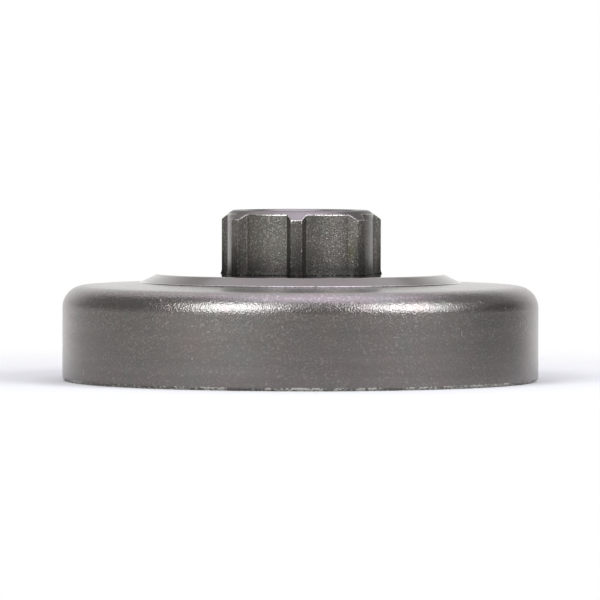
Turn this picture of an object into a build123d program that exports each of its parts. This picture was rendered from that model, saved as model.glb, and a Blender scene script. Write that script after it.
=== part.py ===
from build123d import *
import os
from math import atan2, tan

# Clutch drum of a chainsaw, standing on its rim with the mouth down, in millimetres.
# A pressed steel cup carries a seven-spline hub, which is brazed to the top of the cup.
# The rim plane is Z = 0, the turning axis is Z, and the hub points up.

# Cup: overall size and sheet
drum_diameter = 71.7
cup_height = 14.7          # rim plane to the foot of the raised platform
wall_thickness = 2.6       # friction wall
floor_thickness = 2.6      # pressed top
shoulder_radius = 3.3      # outside rounding between the top and the wall
inner_corner_break = 1.5   # turned bevel between the friction wall and the top
crown_fall = 0.6           # the top falls by this much from the platform to the outside
rim_chamfer = 0.4

# Platform: the low cone that is pressed up around the hub
annulus_width = 8.3        # ring between the shoulder rounding and the platform
platform_rise = 1.35
platform_run = 2.75        # how far its sloping side runs inwards

# Hub: from the bearing bore outwards, then along its length
bore_diameter = 16.0       # running bore for the needle cage
spigot_wall = 1.5          # wall of the collar that goes through the cup
seat_width = 1.5           # shoulder that lies on the platform
braze_gap = 0.05           # radial gap between the collar and its hole
hub_length = 9.6           # above the platform
bore_chamfer = 0.4

# Splines: straight-sided, with a turned lead-in cone over their ends
spline_count = 7
spline_height = 1.18
spline_tip_width = 1.63
spline_root_width = 2.83
spline_tip_radius = 0.12
spline_root_radius = 0.25
lead_in_width = 2.0        # radial
lead_in_depth = 1.36       # axial
end_face_break = 0.2       # small bevel between the end face and the cone
first_spline_angle = -90   # one spline points to -Y

# Foot bead: the rim of metal that stands out around the foot of the hub
bead_height = 0.85
bead_proud = 0.18
bead_chamfer = 0.15

# Sizes that follow from these
drum_radius = drum_diameter / 2
inner_radius = drum_radius - wall_thickness
shoulder_height = cup_height - crown_fall
inner_height = shoulder_height - floor_thickness
platform_height = cup_height + platform_rise
platform_foot_radius = drum_radius - shoulder_radius - annulus_width
platform_top_radius = platform_foot_radius - platform_run
bend_shift = floor_thickness * tan(atan2(platform_rise, platform_run) / 2)
recess_height = platform_height - floor_thickness

bore_radius = bore_diameter / 2
spigot_radius = bore_radius + spigot_wall
hub_hole_radius = spigot_radius + braze_gap
root_radius = spigot_radius + seat_width
tip_radius = root_radius + spline_height
end_face_radius = tip_radius - lead_in_width
hub_top = platform_height + hub_length

os.makedirs("parts", exist_ok=True)


def section_corner(sketch, radius, height):
    """The corner of a half section at this radius and height."""
    return sketch.vertices().sort_by_distance((radius, height, 0))[0]


# Drum cup: one half section turned about the axis, rounded at the shoulder
with BuildPart() as drum_cup:
    with BuildSketch(Plane.XZ) as cup_section:
        with BuildLine():
            Polyline(
                (inner_radius + rim_chamfer, 0),
                (drum_radius - rim_chamfer, 0),
                (drum_radius, rim_chamfer),
                (drum_radius, shoulder_height),
                (platform_foot_radius, cup_height),
                (platform_top_radius, platform_height),
                (hub_hole_radius, platform_height),
                (hub_hole_radius, recess_height),
                (platform_top_radius - bend_shift, recess_height),
                (platform_foot_radius - bend_shift, cup_height - floor_thickness),
                (inner_radius, inner_height),
                (inner_radius, rim_chamfer),
                close=True,
            )
        make_face()
        fillet(section_corner(cup_section, drum_radius, shoulder_height), shoulder_radius)
        chamfer(section_corner(cup_section, inner_radius, inner_height), inner_corner_break)
    revolve(axis=Axis.Z)
drum_cup.part.label = "drum_cup"
export_step(drum_cup.part, "parts/drum_cup.step")


# Splined hub: a splined length, a foot bead of the same outline, the collar, the lead-in cone and the bore
def spline_outline(grow):
    """The hub's outline with sharp corners: splines on a root circle, all grown by this much."""
    flank_slope = (spline_root_width - spline_tip_width) / 2 / spline_height
    reach = spline_height / 4
    with BuildSketch(Plane.XY.offset(platform_height)) as outline:
        with PolarLocations(0, spline_count, start_angle=first_spline_angle):
            Polygon(
                (root_radius - reach, -spline_root_width / 2 - flank_slope * reach - grow),
                (tip_radius + reach, -spline_tip_width / 2 + flank_slope * reach - grow),
                (tip_radius + reach, spline_tip_width / 2 - flank_slope * reach + grow),
                (root_radius - reach, spline_root_width / 2 + flank_slope * reach + grow),
                align=None,
            )
        Circle(tip_radius + grow, mode=Mode.INTERSECT)
        Circle(root_radius + grow)
    return outline.sketch


with BuildPart() as foot_bead:
    extrude(spline_outline(bead_proud), amount=bead_height)
    chamfer(foot_bead.faces().sort_by(Axis.Z)[-1].edges(), bead_chamfer)

with BuildPart() as splined_hub:
    with BuildSketch(Plane.XY.offset(platform_height)) as hub_outline:
        add(spline_outline(0))
        fillet(hub_outline.vertices().group_by(SortBy.DISTANCE)[-1], spline_tip_radius)
        fillet(hub_outline.vertices().group_by(SortBy.DISTANCE)[0], spline_root_radius)
    extrude(amount=hub_length)
    add(foot_bead.part)
    with BuildSketch(Plane.XY.offset(recess_height)):
        Circle(spigot_radius)
    extrude(amount=floor_thickness)
    with BuildSketch(Plane.XZ):
        with BuildLine():
            Polyline(
                (end_face_radius, hub_top),
                (end_face_radius + 2 * lead_in_width, hub_top),
                (end_face_radius + 2 * lead_in_width, hub_top - 2 * lead_in_depth),
                close=True,
            )
        make_face()
    revolve(axis=Axis.Z, mode=Mode.SUBTRACT)
    chamfer(splined_hub.edges().group_by(Axis.Z)[-1], end_face_break)
    with BuildSketch(Plane.XY.offset(recess_height)):
        Circle(bore_radius)
    extrude(amount=floor_thickness + hub_length, mode=Mode.SUBTRACT)
    for end in (0, -1):
        end_edges = splined_hub.edges().group_by(Axis.Z)[end]
        chamfer(end_edges.sort_by(SortBy.RADIUS)[0], bore_chamfer)
splined_hub.part.label = "splined_hub"
export_step(splined_hub.part, "parts/splined_hub.step")
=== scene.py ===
from math import atan2, cos, pi, radians, sin, sqrt, tan

import bpy
import numpy as np
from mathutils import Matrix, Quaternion, Vector


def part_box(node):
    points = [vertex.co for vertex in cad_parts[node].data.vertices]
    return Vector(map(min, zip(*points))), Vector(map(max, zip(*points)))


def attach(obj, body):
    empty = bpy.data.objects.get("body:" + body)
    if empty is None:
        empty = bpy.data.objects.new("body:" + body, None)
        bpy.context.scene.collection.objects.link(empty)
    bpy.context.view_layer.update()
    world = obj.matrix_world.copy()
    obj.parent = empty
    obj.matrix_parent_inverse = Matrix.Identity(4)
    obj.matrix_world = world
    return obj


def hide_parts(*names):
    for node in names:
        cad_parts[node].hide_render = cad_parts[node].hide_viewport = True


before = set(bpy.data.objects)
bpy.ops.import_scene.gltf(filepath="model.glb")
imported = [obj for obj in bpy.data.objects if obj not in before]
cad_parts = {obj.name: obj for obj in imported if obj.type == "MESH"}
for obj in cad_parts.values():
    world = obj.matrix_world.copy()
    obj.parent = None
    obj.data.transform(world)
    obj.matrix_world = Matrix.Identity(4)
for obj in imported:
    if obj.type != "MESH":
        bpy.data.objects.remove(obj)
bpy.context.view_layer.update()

# Clutch drum of a chainsaw on a white table: a pressed steel cup with a sintered splined hub brazed to it.
# Lengths are in millimetres until a mesh, a lamp or the camera is made. The front is -Y, and azimuths turn
# from it towards +X.
MM = 0.001

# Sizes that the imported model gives
cup_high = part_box("drum_cup")[1] / MM
hub_low, hub_high = (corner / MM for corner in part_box("splined_hub"))
drum_radius = cup_high.x
platform_height = cup_high.z
collar_foot = hub_low.z
hub_top = hub_high.z

# Cup: the rest of its section, as on the solid
inner_radius = 33.25
floor_thickness = 2.6
cup_height = 14.7            # rim plane to the foot of the platform
crown_fall = 0.6             # how far the top falls from the platform to the outside
shoulder_radius = 3.3
inner_corner_break = 1.5
rim_chamfer = 0.4
platform_foot_radius = 24.25
platform_top_radius = 21.5
hub_hole_radius = 9.55
shoulder_height = cup_height - crown_fall
inner_height = shoulder_height - floor_thickness
recess_height = platform_height - floor_thickness
crown_slope = crown_fall / (drum_radius - platform_foot_radius)
platform_slope = (platform_height - cup_height) / (platform_foot_radius - platform_top_radius)
bend_shift = floor_thickness * tan(atan2(platform_slope, 1) / 2)

# Hub: bore, collar, splines and lead-in cone, as on the solid
bore_radius = 8.0
bore_chamfer = 0.4
collar_radius = 9.5
root_radius = 11.0
tip_radius = 12.18
spline_count = 7
spline_tip_width = 1.63
spline_root_width = 2.83
tip_fillet = 0.12
root_fillet = 0.25
end_face_radius = 10.18
lead_in_slope = 1.36 / 2.0   # the cone's fall for each millimetre outwards
bead_height = 0.85
bead_proud = 0.18

# Edges, and the fine marks that are modelled as shape
tumbled_edge = 0.1           # what tumbling leaves on a cut edge
cone_edge = 0.13             # the burnished edge between the splines and the cone
end_face_edge = 0.2          # to each side of the corner between the cone and the end face
bore_edge = 0.03             # the corners of the bore's chamfers
pressed_edge = 0.35          # what the die leaves on a bend
platform_edge = 1.5          # the softer bend round the top of the platform
inner_edge = 0.2             # the bends beside the break in the cup's inner corner
sharp_edge = 0.05            # the foot of the platform, and the corners that the hub hides
bead_edge = 0.07             # the rounded underside of the hub's foot bead
die_ridge_place = 0.17       # the die's parting ridge, this far up the platform's side from its foot
die_ridge_width = 0.12       # to each side of its middle
die_ridge_height = 0.08
ridge_foot_edge = 0.03
ridge_top_edge = 0.04
nick_count = 260             # dents around the rim's outer chamfer
nick_depth = 0.12
nick_widths = 0.15, 0.5      # least and most

# Finish of the cup: the top that the die coined passes into the tumbled shoulder and wall
grain_start, grain_full = 28.5, 34.0      # radii between which the tumbled grain comes in
low_wall_grain = 0.6                      # its share low on the wall; more grain higher up gives rougher bumps and brighter specks, painted glints where the shoulder shows its highlights
low_wall_end, high_wall_start = 6.0, 11.5
inner_grain = 0.4                         # its share inside the cup
matt_start, matt_full = 30.0, 33.8        # radii between which the coined top turns as matt as the wall
platform_roughness = 0.1
side_roughness = 0.2                      # the platform's sloping side
top_roughness = 0.26
wall_roughness = 0.28
side_painted_shade = 0.23                         # painted shade: the platform's sloping side is darkened by this share of its colour
rim_rub = 0.1, 0.7                        # wear along the rim's edge, least and most
nick_rub = 3.0                            # more wear for each millimetre of a nick's depth
chamfer_wear_and_painted_reflection, chamfer_rub = 0.48, 0.4     # on the chamfer, partly wear and partly a painted reflection of a bright floor; and its share of the rub beside it
ridge_wear = 0.85

# Finish of the hub: edges rubbed to bare metal, darkening towards the foot and a stain of flux
bead_wear = 0.5
spline_edge_wear = 0.5
shank_end_wear = 0.4                      # just under the cone's edge
cone_edge_wear = 0.75
cone_start_wear = 0.3                     # where the cut cone begins
dark_foot_top = 5.0                            # height over the platform
dark_foot_fall = 1.6                           # how fast it thins upwards, as a power
dark_foot_share = 0.81
dark_tip_share = 0.42                     # more of it on the splines' tips
dark_tip_end, undarkened_tip_start = 2.5, 7.0  # heights over the platform
tip_start, tip_full = 11.4, 12.0          # radii that count as a spline's tip
flux_azimuth = 44.0                       # degrees from the camera's
flux_height = 3.6                         # over the platform
flux_width, flux_length = 0.6, 1.6        # half of each

# Camera, fitted to the photograph
camera_distance = 934.3      # from the axis, in plan
camera_azimuth = radians(3.0)
camera_height = 42.53
target_height = 12.09
target_side = -0.07          # aims this far beside the axis
camera_roll = 0.002
sensor_width = 36.0
view_width = 90.42           # what the square picture spans at the axis

chance = np.random.default_rng(7)


# Meshes
def rounded_section(corners, longest):
    """Points of a closed section from (radius, height, rounding, steps) corners; straights are cut to `longest`."""
    points = []
    count = len(corners)
    for i, (r, z, rounding, steps) in enumerate(corners):
        here = np.array((r, z))
        before = np.array(corners[i - 1][:2]) - here
        after = np.array(corners[(i + 1) % count][:2]) - here
        before /= np.linalg.norm(before)
        after /= np.linalg.norm(after)
        half_angle = np.arccos(np.clip(before @ after, -1, 1)) / 2
        tangent = rounding / tan(half_angle)
        middle = before + after
        centre = here + middle / np.linalg.norm(middle) * rounding / sin(half_angle)
        start = here + before * tangent - centre
        end = here + after * tangent - centre
        turn = atan2(start[0] * end[1] - start[1] * end[0], start @ end)
        for step in range(steps + 1):
            a = turn * step / steps
            points.append(centre + (start[0] * cos(a) - start[1] * sin(a), start[0] * sin(a) + start[1] * cos(a)))
    loop = []
    for here, there in zip(points, points[1:] + points[:1]):
        pieces = max(1, int(np.linalg.norm(there - here) / longest))
        loop += [here + (there - here) * k / pieces for k in range(pieces)]
    return np.array(loop)


def uneven(columns, knots, low, high):
    """Values between `low` and `high` that change smoothly round the axis, with this many chance knots."""
    values = chance.uniform(low, high, knots)
    return np.interp(np.arange(columns) * knots / columns, np.arange(knots + 1), np.append(values, values[0]))


def ramp(values, start, end):
    """0 before `start`, 1 after `end`, and smooth between."""
    t = np.clip((values - start) / (end - start), 0, 1)
    return t * t * (3 - 2 * t)


def ring_mesh(name, grid, finishes, marks):
    """A closed mesh from a grid of points in millimetres, whose rows and columns both run round and meet.

    `finishes` has a material number for the strip that starts at each row, and `marks` has grids of values by name.
    """
    rows, columns = grid.shape[:2]
    numbers = np.arange(rows * columns).reshape(rows, columns)
    right = np.roll(numbers, -1, axis=1)
    up = np.roll(numbers, -1, axis=0)
    across = np.roll(right, -1, axis=0)
    quads = np.stack((numbers, right, across, up), axis=-1).reshape(-1, 4)
    points = grid.reshape(-1, 3) * MM
    mesh = bpy.data.meshes.new(name)
    mesh.from_pydata(points, [], quads.tolist())
    mesh.shade_smooth()
    mesh.polygons.foreach_set("material_index", np.repeat(finishes, columns).astype(np.int32))
    for mark, values in marks.items():
        layer = mesh.attributes.new(mark, "FLOAT", "POINT")
        layer.data.foreach_set("value", np.broadcast_to(values, (rows, columns)).astype(np.float32).ravel())
    # Normals weighted by area keep a flat face flat up to the small roundings beside it.
    faces = np.cross(points[quads[:, 2]] - points[quads[:, 0]], points[quads[:, 3]] - points[quads[:, 1]])
    normals = np.zeros_like(points)
    for corner in range(4):
        np.add.at(normals, quads[:, corner], faces)
    normals /= np.linalg.norm(normals, axis=1, keepdims=True)
    mesh.normals_split_custom_set_from_vertices(normals)
    piece = bpy.data.objects.new(name, mesh)
    bpy.context.scene.collection.objects.link(piece)
    return piece


def pressed_cup():
    """The cup: its section turned about the axis, with the die's ridge and the nicks along its rim."""
    columns = 900
    foot = platform_foot_radius
    ridge, half_ridge = foot - die_ridge_place, die_ridge_width

    def on_platform_side(r):
        """The height of the platform's bare side at a radius."""
        return cup_height + (foot - r) * platform_slope

    section = rounded_section(
        [
            (inner_radius + rim_chamfer, 0, tumbled_edge, 3),
            (drum_radius - rim_chamfer, 0, tumbled_edge, 3),
            (drum_radius, rim_chamfer, tumbled_edge, 4),
            (drum_radius, shoulder_height, shoulder_radius, 24),
            (foot, cup_height, sharp_edge, 2),
            (ridge + half_ridge, on_platform_side(ridge + half_ridge), ridge_foot_edge, 2),
            (ridge + half_ridge / 3, on_platform_side(ridge + half_ridge / 3) + die_ridge_height, ridge_top_edge, 3),
            (ridge - half_ridge / 3, on_platform_side(ridge - half_ridge / 3) + die_ridge_height, ridge_top_edge, 3),
            (ridge - half_ridge, on_platform_side(ridge - half_ridge), ridge_foot_edge, 2),
            (platform_top_radius, platform_height, platform_edge, 8),
            (hub_hole_radius, platform_height, sharp_edge, 1),
            (hub_hole_radius, recess_height, sharp_edge, 1),
            (platform_top_radius - bend_shift, recess_height, pressed_edge, 4),
            (platform_foot_radius - bend_shift, cup_height - floor_thickness, pressed_edge, 4),
            (inner_radius - inner_corner_break, inner_height + inner_corner_break * crown_slope, inner_edge, 3),
            (inner_radius, inner_height - inner_corner_break, inner_edge, 3),
            (inner_radius, rim_chamfer, tumbled_edge, 4),
        ],
        longest=2.5,
    )
    # One more row close above the chamfer, where its rubbed edge ends
    worn_end = rim_chamfer + 2 * tumbled_edge
    section = np.insert(section, np.argmax(section[:, 1] > worn_end), (drum_radius, worn_end), axis=0)
    r, z = section[:, :1], section[:, 1:]
    bare = on_platform_side(r)
    outside = np.arange(len(section))[:, None] < np.argmin(r)
    on_ridge = outside & (abs(r - ridge) < half_ridge)
    on_ridge_top = on_ridge & (z > bare + 0.6 * die_ridge_height)
    on_chamfer = outside & (r > drum_radius - rim_chamfer) & (z < rim_chamfer + tumbled_edge)
    on_rim_edge = on_chamfer & (z > rim_chamfer - tumbled_edge)
    on_side = (r < foot) & (r > platform_top_radius)
    turned_inside = ~outside & (r > inner_radius - inner_corner_break - 0.3)
    turned_rim = z < 0.001

    # The ridge is a little higher here and lower there, and each nick dents a few columns of the chamfer.
    height = np.where(on_ridge, bare + (z - bare) * uneven(columns, 300, 0.9, 1.0), z + np.zeros(columns))
    place = np.arange(columns) * 2 * pi * drum_radius / columns
    dent = np.zeros(columns)
    for _ in range(nick_count):
        centre, width = chance.uniform(0, 2 * pi * drum_radius), chance.uniform(*nick_widths)
        dent = np.maximum(dent, nick_depth * chance.uniform(0.3, 1) * np.exp(-((place - centre) / width) ** 2))
    radius = r - np.where(on_chamfer, dent, 0)
    rubbed = uneven(columns, 50, *rim_rub)

    angles = np.arange(columns) * 2 * pi / columns
    grid = np.stack((radius * np.cos(angles), radius * np.sin(angles), height), axis=-1)
    # More grain higher on the wall: rougher bumps, and brighter specks as painted glints.
    grain = low_wall_grain + (1 - low_wall_grain) * ramp(z, low_wall_end, high_wall_start)
    coined = np.where(on_side, side_roughness, np.where(r < foot, platform_roughness, top_roughness))
    matt = coined + (wall_roughness - coined) * ramp(r, matt_start, matt_full)
    marks = {
        "tumbled": np.where(outside, ramp(r, grain_start, grain_full) * grain, inner_grain),
        "matt": np.where(outside, matt, wall_roughness),
        # On the chamfer the bare metal is partly wear and partly a painted reflection of a bright floor.
        "bare_metal": np.select(
            (on_rim_edge, on_chamfer, on_ridge_top),
            (rubbed + nick_rub * dent, chamfer_wear_and_painted_reflection + chamfer_rub * rubbed, np.full(columns, ridge_wear))),
        # painted shade on the platform's sloping side
        "painted_side_shade": np.where(outside & on_side, side_painted_shade, 0),
    }
    return ring_mesh("pressed_cup", grid, (turned_inside | turned_rim)[:, 0].astype(int), marks)


def spline_outline():
    """Points round the hub's outline, their normals, and 1 at the splines' tip edges, sector by sector."""
    lean = atan2((spline_root_width - spline_tip_width) / 2, tip_radius - root_radius)
    along = np.array((cos(lean), -sin(lean)))
    out = np.array((sin(lean), cos(lean)))
    depth = out @ (root_radius, spline_root_width / 2)
    tip_depth, root_depth = depth - tip_fillet, depth + root_fillet
    tip_centre = along * sqrt((tip_radius - tip_fillet) ** 2 - tip_depth ** 2) + out * tip_depth
    root_centre = along * sqrt((root_radius + root_fillet) ** 2 - root_depth ** 2) + out * root_depth
    root_angle = atan2(root_centre[1], root_centre[0])
    tip_angle = atan2(tip_centre[1], tip_centre[0])
    flank_angle = pi / 2 - lean
    flank_start = root_centre - out * root_fillet
    flank_end = tip_centre + out * tip_fillet
    half = []
    for a in np.linspace(pi / spline_count, root_angle, 26):
        half.append((root_radius * cos(a), root_radius * sin(a), a, 0))
    for a in np.linspace(root_angle, flank_angle, 6)[1:]:
        half.append((root_centre[0] - root_fillet * cos(a), root_centre[1] - root_fillet * sin(a), a, 0))
    for t in np.linspace(0, 1, 7)[1:]:
        p = flank_start + (flank_end - flank_start) * t
        half.append((p[0], p[1], flank_angle, 0))
    for a in np.linspace(flank_angle, tip_angle, 5)[1:]:
        half.append((tip_centre[0] + tip_fillet * cos(a), tip_centre[1] + tip_fillet * sin(a), a, 1))
    for a in np.linspace(tip_angle, 0, 6)[1:]:
        half.append((tip_radius * cos(a), tip_radius * sin(a), a, 0))
    half = np.array(half)
    sector = np.concatenate((half[1:-1] * (1, -1, -1, 1), half[::-1][:-1]))
    points, normals = [], []
    for n in range(spline_count):
        turn = 2 * pi * n / spline_count - pi / 2
        c, s = cos(turn), sin(turn)
        points.append(sector[:, :2] @ ((c, s), (-s, c)))
        a = sector[:, 2] + turn
        normals.append(np.stack((np.cos(a), np.sin(a)), axis=-1))
    return np.concatenate(points), np.concatenate(normals), np.tile(sector[:, 3], spline_count)


def sintered_hub():
    """The hub: a column of points over each point of its outline, closed down the bore."""
    outline, normals, tip_edges = spline_outline()
    inset = outline - normals * cone_edge
    reach = np.linalg.norm(inset, axis=1)
    direction = inset / reach[:, None]
    rows, finishes, wear = [], [], []

    def cone_height(points):
        """The height of the lead-in cone over each point."""
        return hub_top - (np.linalg.norm(points, axis=1) - end_face_radius) * lead_in_slope

    def row(points, height, finish, bare_metal=0.0):
        """Adds the next row round the hub, with the finish of the strip that starts there."""
        rows.append(np.column_stack((points, np.zeros(len(outline)) + height)))
        finishes.append(finish)
        wear.append(np.zeros(len(outline)) + bare_metal)

    as_sintered, as_turned, as_ground = 0, 1, 2
    # Collar and the underside of the bead
    row(direction * (bore_radius + bore_chamfer), collar_foot, as_turned)
    row(direction * (collar_radius - tumbled_edge), collar_foot, as_turned)
    row(direction * collar_radius, collar_foot + tumbled_edge, as_turned)
    row(direction * collar_radius, platform_height - sharp_edge, as_sintered)
    row(direction * (collar_radius + sharp_edge), platform_height, as_sintered)
    row(outline + normals * (bead_proud - bead_edge), platform_height, as_sintered)
    # Bead and its flare into the splines
    for a in np.linspace(0, pi / 2, 4)[1:]:
        proud = bead_proud - bead_edge * (1 - sin(a))
        row(outline + normals * proud, platform_height + bead_edge * (1 - cos(a)), as_sintered, bead_wear)
    flare = bead_height - bead_edge
    for t in np.linspace(0, 1, 9)[1:]:
        row(outline + normals * bead_proud * (1 - t) ** 3, platform_height + bead_edge + flare * t, as_sintered)
    # Splines, and the edge where the cone cuts them
    foot = platform_height + bead_height
    shank = cone_height(outline) - cone_edge - foot
    for t in np.linspace(0, 1, 17)[1:]:
        row(outline, foot + shank * t, as_sintered, spline_edge_wear * tip_edges + shank_end_wear * (t == 1))
    for t in np.linspace(0, 1, 6)[1:]:
        points = outline - normals * cone_edge * t * t
        finish, bare_metal = (as_sintered, cone_edge_wear) if t < 1 else (as_turned, cone_start_wear)
        row(points, cone_height(points) - cone_edge * (1 - t) ** 2, finish, bare_metal)
    # Cone, end face and bore
    for t in np.linspace(0, 1, 7)[1:]:
        points = direction * (reach + (end_face_radius + end_face_edge - reach) * t)[:, None]
        row(points, cone_height(points), as_turned)
    for t in np.linspace(0, 1, 4)[1:]:
        fall = end_face_edge * lead_in_slope * (1 - t) ** 2
        row(direction * (end_face_radius + end_face_edge * (1 - 2 * t)), hub_top - fall, as_turned)
    row(direction * (bore_radius + bore_chamfer + tumbled_edge), hub_top, as_turned)
    row(direction * (bore_radius + bore_chamfer), hub_top - bore_edge, as_turned)
    row(direction * (bore_radius + bore_edge), hub_top - bore_chamfer, as_turned)
    bore_start = hub_top - bore_chamfer - tumbled_edge
    bore_end = collar_foot + bore_chamfer + tumbled_edge
    for t in np.linspace(0, 1, 6):
        row(direction * bore_radius, bore_start + (bore_end - bore_start) * t, as_ground)
    row(direction * (bore_radius + bore_edge), collar_foot + bore_chamfer, as_turned)
    grid = np.array(rows)

    # The hub is darker towards its foot, and the darkening reaches higher on the splines' tips. A drop of flux left a
    # stain.
    above = grid[..., 2] - platform_height
    on_tip = ramp(np.linalg.norm(grid[..., :2], axis=-1), tip_start, tip_full)
    dark_foot = np.clip(1 - above / dark_foot_top, 0, 1) ** dark_foot_fall
    dark_tip = on_tip * (1 - ramp(above, dark_tip_end, undarkened_tip_start))
    undarkened = (1 - dark_foot_share * dark_foot) * (1 - dark_tip_share * dark_tip)
    flux = camera_azimuth + radians(flux_azimuth) - pi / 2
    aside = np.linalg.norm(grid[..., :2] - np.array((cos(flux), sin(flux))) * root_radius, axis=-1)
    stain = np.exp(-(aside / flux_width) ** 2 - ((above - flux_height) / flux_length) ** 2)
    marks = {"bare_metal": np.array(wear), "undarkened": undarkened, "stain": stain}
    return ring_mesh("sintered_hub", grid, np.array(finishes), marks)


cup = pressed_cup()
hub = sintered_hub()


# Materials
def linear(hex_colour):
    """An sRGB hex colour as the linear values that a socket takes."""
    parts = [int(hex_colour[i:i + 2], 16) / 255 for i in (1, 3, 5)]
    return tuple(c / 12.92 if c <= 0.04045 else ((c + 0.055) / 1.055) ** 2.4 for c in parts) + (1.0,)


def add_node(tree, kind, inputs, **settings):
    """Adds a node with its settings, sets or links its inputs, by name or number, and gives its outputs."""
    node = tree.nodes.new("ShaderNode" + kind)
    for name, value in settings.items():
        setattr(node, name, value)
    for name, value in inputs.items():
        if isinstance(value, bpy.types.NodeSocket):
            tree.links.new(value, node.inputs[name])
        else:
            node.inputs[name].default_value = value
    return node.outputs


def new_tree(name):
    """A new material and its node tree, empty."""
    material = bpy.data.materials.new(name)
    material.use_nodes = True
    material.node_tree.nodes.clear()
    return material, material.node_tree


def pressed_and_tumbled():
    """Cold-pressed sheet steel, tumbled with stones: the wall is matt grey with burnished specks and dings, the top
    that the die coined is smoother, and the edges are rubbed to bare metal. The rim's chamfer is lightened further
    as a painted reflection, the platform's side is darkened as painted shade, and the specks are brighter high up
    as painted glints."""
    # Marks of the stones are a few hundredths of a millimetre wide on the real part, and are drawn coarser so that
    # they show. The other sizes are the real ones.
    grain, grain_depth = 0.24, 0.055
    speck = 0.36
    patch = 5.0              # areas with more or fewer specks
    ding_spacing = 1.7
    scratch_spacing = 2.2
    band = 1.4               # width of the bands from drawing the wall through the die
    blotch = 4.0             # of oxide
    fleck = 0.4              # of bare metal along an edge
    material, tree = new_tree("steel_pressed_and_tumbled")
    place = add_node(tree, "TexCoord", {})["Object"]
    bare_metal = add_node(tree, "Attribute", {}, attribute_name="bare_metal")["Fac"]
    tumbled = add_node(tree, "Attribute", {}, attribute_name="tumbled")["Fac"]
    matt = add_node(tree, "Attribute", {}, attribute_name="matt")["Fac"]
    painted_side_shade = add_node(tree, "Attribute", {}, attribute_name="painted_side_shade")["Fac"]

    # Grain and burnished specks of the tumbled skin, the specks in patches
    fine = add_node(tree, "TexNoise", {"Vector": place, "Scale": 1 / (grain * MM), "Detail": 1.0})["Fac"]
    specks = add_node(
        tree, "TexNoise", {"Vector": place, "Scale": 1 / (speck * MM), "Detail": 0.5, "Roughness": 0.6})["Fac"]
    specks = add_node(
        tree, "MapRange", {"Value": specks, "From Min": 0.5, "From Max": 0.8, "To Min": 0.0, "To Max": 0.5},
        interpolation_type="SMOOTHSTEP")[0]
    patches = add_node(tree, "TexNoise", {"Vector": place, "Scale": 1 / (patch * MM), "Detail": 2.0})["Fac"]
    patches = add_node(
        tree, "MapRange", {"Value": patches, "From Min": 0.35, "From Max": 0.65, "To Min": 0.6, "To Max": 1.3})[0]
    specks = add_node(tree, "Math", {0: specks, 1: patches}, operation="MULTIPLY")[0]
    # Specks are brighter where the grain share is fuller, high on the wall and shoulder: painted glints.
    level = add_node(tree, "Math", {0: specks, 1: tumbled, 2: 0.965}, operation="MULTIPLY_ADD")[0]

    # Dings from the other parts in the tumbler: round ones, and short slanting ones that are farther apart
    cells = add_node(tree, "TexVoronoi", {"Vector": place, "Scale": 1 / (ding_spacing * MM)})
    ding = add_node(
        tree, "MapRange",
        {"Value": cells["Distance"], "From Min": 0.05, "From Max": 0.11, "To Min": 1.0, "To Max": 0.0})[0]
    kept = add_node(tree, "Math", {0: cells["Color"], 1: 0.6}, operation="GREATER_THAN")[0]
    ding = add_node(tree, "Math", {0: ding, 1: kept}, operation="MULTIPLY")[0]
    slanted = add_node(
        tree, "Mapping", {"Vector": place, "Rotation": (0.9, 0.7, 0.3), "Scale": (1.0, 1.0, 0.25)})[0]
    cells = add_node(tree, "TexVoronoi", {"Vector": slanted, "Scale": 1 / (scratch_spacing * MM)})
    scratch = add_node(
        tree, "MapRange",
        {"Value": cells["Distance"], "From Min": 0.03, "From Max": 0.07, "To Min": 1.0, "To Max": 0.0})[0]
    ding = add_node(tree, "Math", {0: ding, 1: scratch}, operation="MAXIMUM")[0]
    ding = add_node(tree, "Math", {0: ding, 1: tumbled}, operation="MULTIPLY")[0]

    # Slow bands round the wall, blotches of oxide, and painted shade that darkens the platform's sloping side
    stretched = add_node(tree, "VectorMath", {0: place, 1: (0.05, 0.05, 1.0)}, operation="MULTIPLY")[0]
    bands = add_node(tree, "TexNoise", {"Vector": stretched, "Scale": 1 / (band * MM), "Detail": 2.0})["Fac"]
    bands = add_node(
        tree, "MapRange", {"Value": bands, "From Min": 0.3, "From Max": 0.7, "To Min": 0.94, "To Max": 1.06})[0]
    blotches = add_node(tree, "TexNoise", {"Vector": place, "Scale": 1 / (blotch * MM), "Detail": 2.0})["Fac"]
    blotches = add_node(tree, "MapRange", {"Value": blotches, "From Min": 0.35, "From Max": 0.65})[0]
    colour = add_node(
        tree, "Mix", {0: blotches, 6: linear("#7a7370"), 7: linear("#767470")}, data_type="RGBA")[2]
    level = add_node(tree, "Math", {0: level, 1: bands}, operation="MULTIPLY")[0]
    level = add_node(tree, "Math", {0: ding, 1: 0.9, 2: level}, operation="MULTIPLY_ADD")[0]
    # Painted shade: the platform's sloping side is darkened by its share of the colour.
    unshaded_share = add_node(tree, "Math", {0: 1.0, 1: painted_side_shade}, operation="SUBTRACT")[0]
    level = add_node(tree, "Math", {0: level, 1: unshaded_share}, operation="MULTIPLY")[0]
    colour = add_node(tree, "VectorMath", {0: colour, "Scale": level}, operation="SCALE")[0]

    # Edges rubbed to bare metal, in flecks; on the rim's chamfer the lightening is partly a painted reflection
    flecks = add_node(tree, "TexNoise", {"Vector": place, "Scale": 1 / (fleck * MM), "Detail": 2.0})["Fac"]
    bare = add_node(tree, "Math", {0: flecks, 1: bare_metal}, operation="MULTIPLY")[0]
    bare = add_node(
        tree, "MapRange", {"Value": bare, "From Min": 0.26, "From Max": 0.36}, interpolation_type="SMOOTHSTEP")[0]
    colour = add_node(tree, "Mix", {0: bare, 6: colour, 7: linear("#c6c2bd")}, data_type="RGBA")[2]

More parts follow.
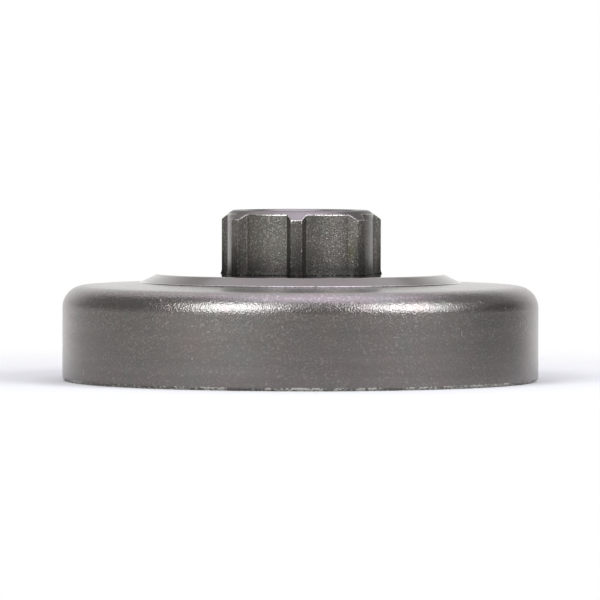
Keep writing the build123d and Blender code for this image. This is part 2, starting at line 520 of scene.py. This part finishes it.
    height = add_node(tree, "Math", {0: fine, 1: tumbled}, operation="MULTIPLY")[0]
    height = add_node(tree, "Math", {0: ding, 1: -0.5, 2: height}, operation="MULTIPLY_ADD")[0]
    bump = add_node(tree, "Bump", {"Height": height, "Strength": 1.0, "Distance": grain_depth * MM})["Normal"]
    steel = add_node(
        tree, "BsdfPrincipled", {"Base Color": colour, "Metallic": 1.0, "Roughness": matt, "Normal": bump})[0]
    add_node(tree, "OutputMaterial", {"Surface": steel})
    return material


def turned(name, colour, roughness, pitch, depth):
    """Steel cut on a lathe: fine lines round the axis, `pitch` apart, which draw its highlights out. The lines of the
    real cut are finer, and are drawn as coarse as they need to show."""
    material, tree = new_tree(name)
    place = add_node(tree, "TexCoord", {})["Object"]
    across = add_node(tree, "VectorMath", {0: place, 1: (1.0, 1.0, 0.0)}, operation="MULTIPLY")[0]
    radius = add_node(tree, "VectorMath", {0: across}, operation="LENGTH")["Value"]
    height = add_node(tree, "SeparateXYZ", {0: place})["Z"]
    travel = add_node(tree, "Math", {0: radius, 1: height}, operation="ADD")[0]
    lines = add_node(
        tree, "TexNoise", {"W": travel, "Scale": 1 / (pitch * MM), "Detail": 2.0}, noise_dimensions="1D")["Fac"]
    level = add_node(
        tree, "MapRange", {"Value": lines, "From Min": 0.25, "From Max": 0.75, "To Min": 0.95, "To Max": 1.05})[0]
    shade = add_node(tree, "VectorMath", {0: linear(colour)[:3], "Scale": level}, operation="SCALE")[0]
    bump = add_node(tree, "Bump", {"Height": lines, "Strength": 1.0, "Distance": depth * MM})["Normal"]
    # Cut steel stays grey where it is seen at a flat angle, so the tint there is less than white.
    steel = add_node(
        tree, "BsdfPrincipled",
        {"Base Color": shade, "Metallic": 1.0, "Roughness": roughness, "Specular Tint": linear("#c0c0c0"),
         "Normal": bump})[0]
    add_node(tree, "OutputMaterial", {"Surface": steel})
    return material


def sintered_and_tumbled():
    """Pressed and sintered iron powder, tumbled: darker and grainier than sheet, with burnished grains and edges,
    matt and darker towards the braze."""
    # Powder grains are about 0.1 mm, and are drawn a little coarser so that they show.
    grain, grain_depth = 0.2, 0.047
    speck = 0.27             # a burnished grain
    blotch = 2.0             # of oxide
    fleck = 0.4              # of bare metal along an edge
    material, tree = new_tree("steel_sintered_and_tumbled")
    place = add_node(tree, "TexCoord", {})["Object"]
    bare_metal = add_node(tree, "Attribute", {}, attribute_name="bare_metal")["Fac"]
    undarkened = add_node(tree, "Attribute", {}, attribute_name="undarkened")["Fac"]
    stain = add_node(tree, "Attribute", {}, attribute_name="stain")["Fac"]

    fine = add_node(tree, "TexNoise", {"Vector": place, "Scale": 1 / (grain * MM), "Detail": 1.0})["Fac"]
    specks = add_node(
        tree, "TexNoise", {"Vector": place, "Scale": 1 / (speck * MM), "Detail": 1.0, "Roughness": 0.6})["Fac"]
    level = add_node(
        tree, "MapRange", {"Value": specks, "From Min": 0.47, "From Max": 0.8, "To Min": 0.93, "To Max": 2.2},
        interpolation_type="SMOOTHSTEP")[0]
    level = add_node(tree, "Math", {0: level, 1: undarkened}, operation="MULTIPLY")[0]

    blotches = add_node(tree, "TexNoise", {"Vector": place, "Scale": 1 / (blotch * MM), "Detail": 2.0})["Fac"]
    blotches = add_node(tree, "MapRange", {"Value": blotches, "From Min": 0.35, "From Max": 0.65})[0]
    colour = add_node(
        tree, "Mix", {0: blotches, 6: linear("#6a6561"), 7: linear("#66655f")}, data_type="RGBA")[2]
    colour = add_node(tree, "Mix", {0: stain, 6: colour, 7: linear("#59573b")}, data_type="RGBA")[2]
    colour = add_node(tree, "VectorMath", {0: colour, "Scale": level}, operation="SCALE")[0]

    # Edges rubbed to bare metal, in flecks
    flecks = add_node(tree, "TexNoise", {"Vector": place, "Scale": 1 / (fleck * MM), "Detail": 2.0})["Fac"]
    bare = add_node(tree, "Math", {0: flecks, 1: bare_metal}, operation="MULTIPLY")[0]
    bare = add_node(
        tree, "MapRange", {"Value": bare, "From Min": 0.26, "From Max": 0.4}, interpolation_type="SMOOTHSTEP")[0]
    colour = add_node(tree, "Mix", {0: bare, 6: colour, 7: linear("#b4b0aa")}, data_type="RGBA")[2]

    # The darker foot is matt too.
    roughness = add_node(
        tree, "MapRange", {"Value": undarkened, "From Min": 0.25, "From Max": 0.7, "To Min": 0.6, "To Max": 0.3})[0]
    bump = add_node(tree, "Bump", {"Height": fine, "Strength": 1.0, "Distance": grain_depth * MM})["Normal"]
    steel = add_node(
        tree, "BsdfPrincipled", {"Base Color": colour, "Metallic": 1.0, "Roughness": roughness, "Normal": bump})[0]
    add_node(tree, "OutputMaterial", {"Surface": steel})
    return material


friction_wall = turned("steel_turned_friction_wall", "#8a8680", roughness=0.3, pitch=0.25, depth=0.02)
lead_in = turned("steel_sintered_and_turned", "#777371", roughness=0.3, pitch=0.3, depth=0.006)
ground_bore = turned("steel_ground_bore", "#98958f", roughness=0.2, pitch=0.2, depth=0.004)
for piece, node, slot, finishes in (
    (cup, "drum_cup", "pressed_steel", (pressed_and_tumbled(), friction_wall)),
    (hub, "splined_hub", "sintered_steel", (sintered_and_tumbled(), lead_in, ground_bore)),
):
    for finish in finishes:
        piece.data.materials.append(finish)
    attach(piece, "root")
    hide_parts(node)

# Table: pale matt paper that fades out into the white background and keeps the shadow
table_radius = 260.0
table_drop = 0.02            # below the rim, so that the two don't touch
fade_start, fade_end = 45.0, 130.0
mesh = bpy.data.meshes.new("table")
turns = np.linspace(0, 2 * pi, 97)[:-1]
corners = [(table_radius * cos(a) * MM, table_radius * sin(a) * MM, -table_drop * MM) for a in turns]
mesh.from_pydata(corners, [], [range(len(corners))])
table = bpy.data.objects.new("table", mesh)
bpy.context.scene.collection.objects.link(table)
paper, tree = new_tree("paper_pale_matt")
place = add_node(tree, "TexCoord", {})["Object"]
away = add_node(tree, "VectorMath", {0: place}, operation="LENGTH")["Value"]
fade = add_node(
    tree, "MapRange", {"Value": away, "From Min": fade_start * MM, "From Max": fade_end * MM},
    interpolation_type="SMOOTHSTEP")[0]
white = add_node(tree, "BsdfDiffuse", {"Color": linear("#c4c4c2")})[0]
clear = add_node(tree, "BsdfTransparent", {})[0]
faded = add_node(tree, "MixShader", {0: fade, 1: white, 2: clear})[0]
add_node(tree, "OutputMaterial", {"Surface": faded})
mesh.materials.append(paper)


# Light
def heading(azimuth, elevation):
    """A direction whose azimuth, in degrees, is counted from the camera's."""
    a, e = camera_azimuth + radians(azimuth), radians(elevation)
    return Vector((sin(a) * cos(e), -cos(a) * cos(e), sin(e)))


def softbox(name, azimuth, elevation, distance, width, height, radiance, colour):
    """An area lamp that faces the drum."""
    lamp = bpy.data.lights.new(name, "AREA")
    lamp.shape = "RECTANGLE"
    lamp.size = width * MM
    lamp.size_y = height * MM
    lamp.energy = radiance * pi * width * height * MM * MM
    lamp.color = linear(colour)[:3]
    holder = bpy.data.objects.new(name, lamp)
    holder.location = heading(azimuth, elevation) * distance * MM
    holder.rotation_euler = (-holder.location).to_track_quat("-Z", "Y").to_euler()
    holder.visible_camera = False
    bpy.context.scene.collection.objects.link(holder)


softbox("key_left", -36, 35.5, 700, 395, 460, 8.0, "#f5faff")
softbox("key_right", 55.8, 31.6, 700, 410, 415, 8.0, "#f5faff")
softbox("overhead", 95, 84, 700, 600, 600, 2.8, "#efe8ff")
softbox("back", -167, 53.5, 800, 720, 340, 1.36, "#f8f4ff")

# World: white to the camera. In the mirror of the drum it is brightest behind the drum, and the table below the
# horizon is brighter than the room above it.
room_level = 0.36
table_level = 0.85
table_end, room_start = -4, 9             # degrees over the horizon
behind_level = 1.26
behind_start, behind_full = 0.67, 0.93    # cosines of the angle from straight behind
lift_reach = 0.78                         # cosine of the angle at which a lift or dimming ends
lifts = (
    (heading(-45, -4), 0.25),             # brighter low on the left
    (heading(115, -6), -0.3),             # darker low on the right
    (heading(100, 46), 0.11),             # a little brighter high on the right
)
world = bpy.data.worlds.new("studio")
bpy.context.scene.world = world
world.use_nodes = True
tree = world.node_tree
tree.nodes.clear()
rays = add_node(tree, "LightPath", {})
direction = add_node(tree, "TexCoord", {})["Generated"]
height = add_node(tree, "SeparateXYZ", {0: direction})["Z"]
sides = add_node(
    tree, "MapRange",
    {"Value": height, "From Min": sin(radians(table_end)), "From Max": sin(radians(room_start)),
     "To Min": table_level, "To Max": room_level},
    interpolation_type="SMOOTHSTEP")[0]
for centre, change in lifts:
    towards = add_node(tree, "VectorMath", {0: direction, 1: centre}, operation="DOT_PRODUCT")["Value"]
    lifted = add_node(
        tree, "MapRange", {"Value": towards, "From Min": lift_reach, "From Max": 1.0, "To Min": 0.0, "To Max": change},
        interpolation_type="SMOOTHSTEP")[0]
    sides = add_node(tree, "Math", {0: sides, 1: lifted}, operation="ADD")[0]
to_back = add_node(tree, "VectorMath", {0: direction, 1: heading(180, 0)}, operation="DOT_PRODUCT")["Value"]
behind = add_node(
    tree, "MapRange", {"Value": to_back, "From Min": behind_start, "From Max": behind_full},
    interpolation_type="SMOOTHSTEP")[0]
mirrored = add_node(
    tree, "Math", {0: rays["Is Glossy Ray"], 1: rays["Is Transmission Ray"]}, operation="MAXIMUM")[0]
backdrop = add_node(tree, "Mix", {0: behind, 2: sides, 3: behind_level})[0]
seen = add_node(tree, "Mix", {0: mirrored, 2: room_level, 3: backdrop})[0]
shown = add_node(tree, "Mix", {0: rays["Is Camera Ray"], 2: seen, 3: 1.0})[0]
background = add_node(tree, "Background", {"Color": linear("#ffffff"), "Strength": shown})[0]
add_node(tree, "OutputWorld", {"Surface": background})

# Camera
lens = bpy.data.cameras.new("camera")
lens.sensor_width = sensor_width
camera_place = heading(0, 0) * camera_distance + Vector((0, 0, camera_height))
target = heading(90, 0) * target_side + Vector((0, 0, target_height))
line_of_sight = target - camera_place
lens.lens = sensor_width * line_of_sight.length / view_width
camera = bpy.data.objects.new("camera", lens)
camera.location = camera_place * MM
camera.rotation_mode = "QUATERNION"
camera.rotation_quaternion = line_of_sight.to_track_quat("-Z", "Y") @ Quaternion((0, 0, 1), camera_roll)
bpy.context.scene.collection.objects.link(camera)
bpy.context.scene.camera = camera
bpy.context.scene.view_settings.view_transform = "Standard"
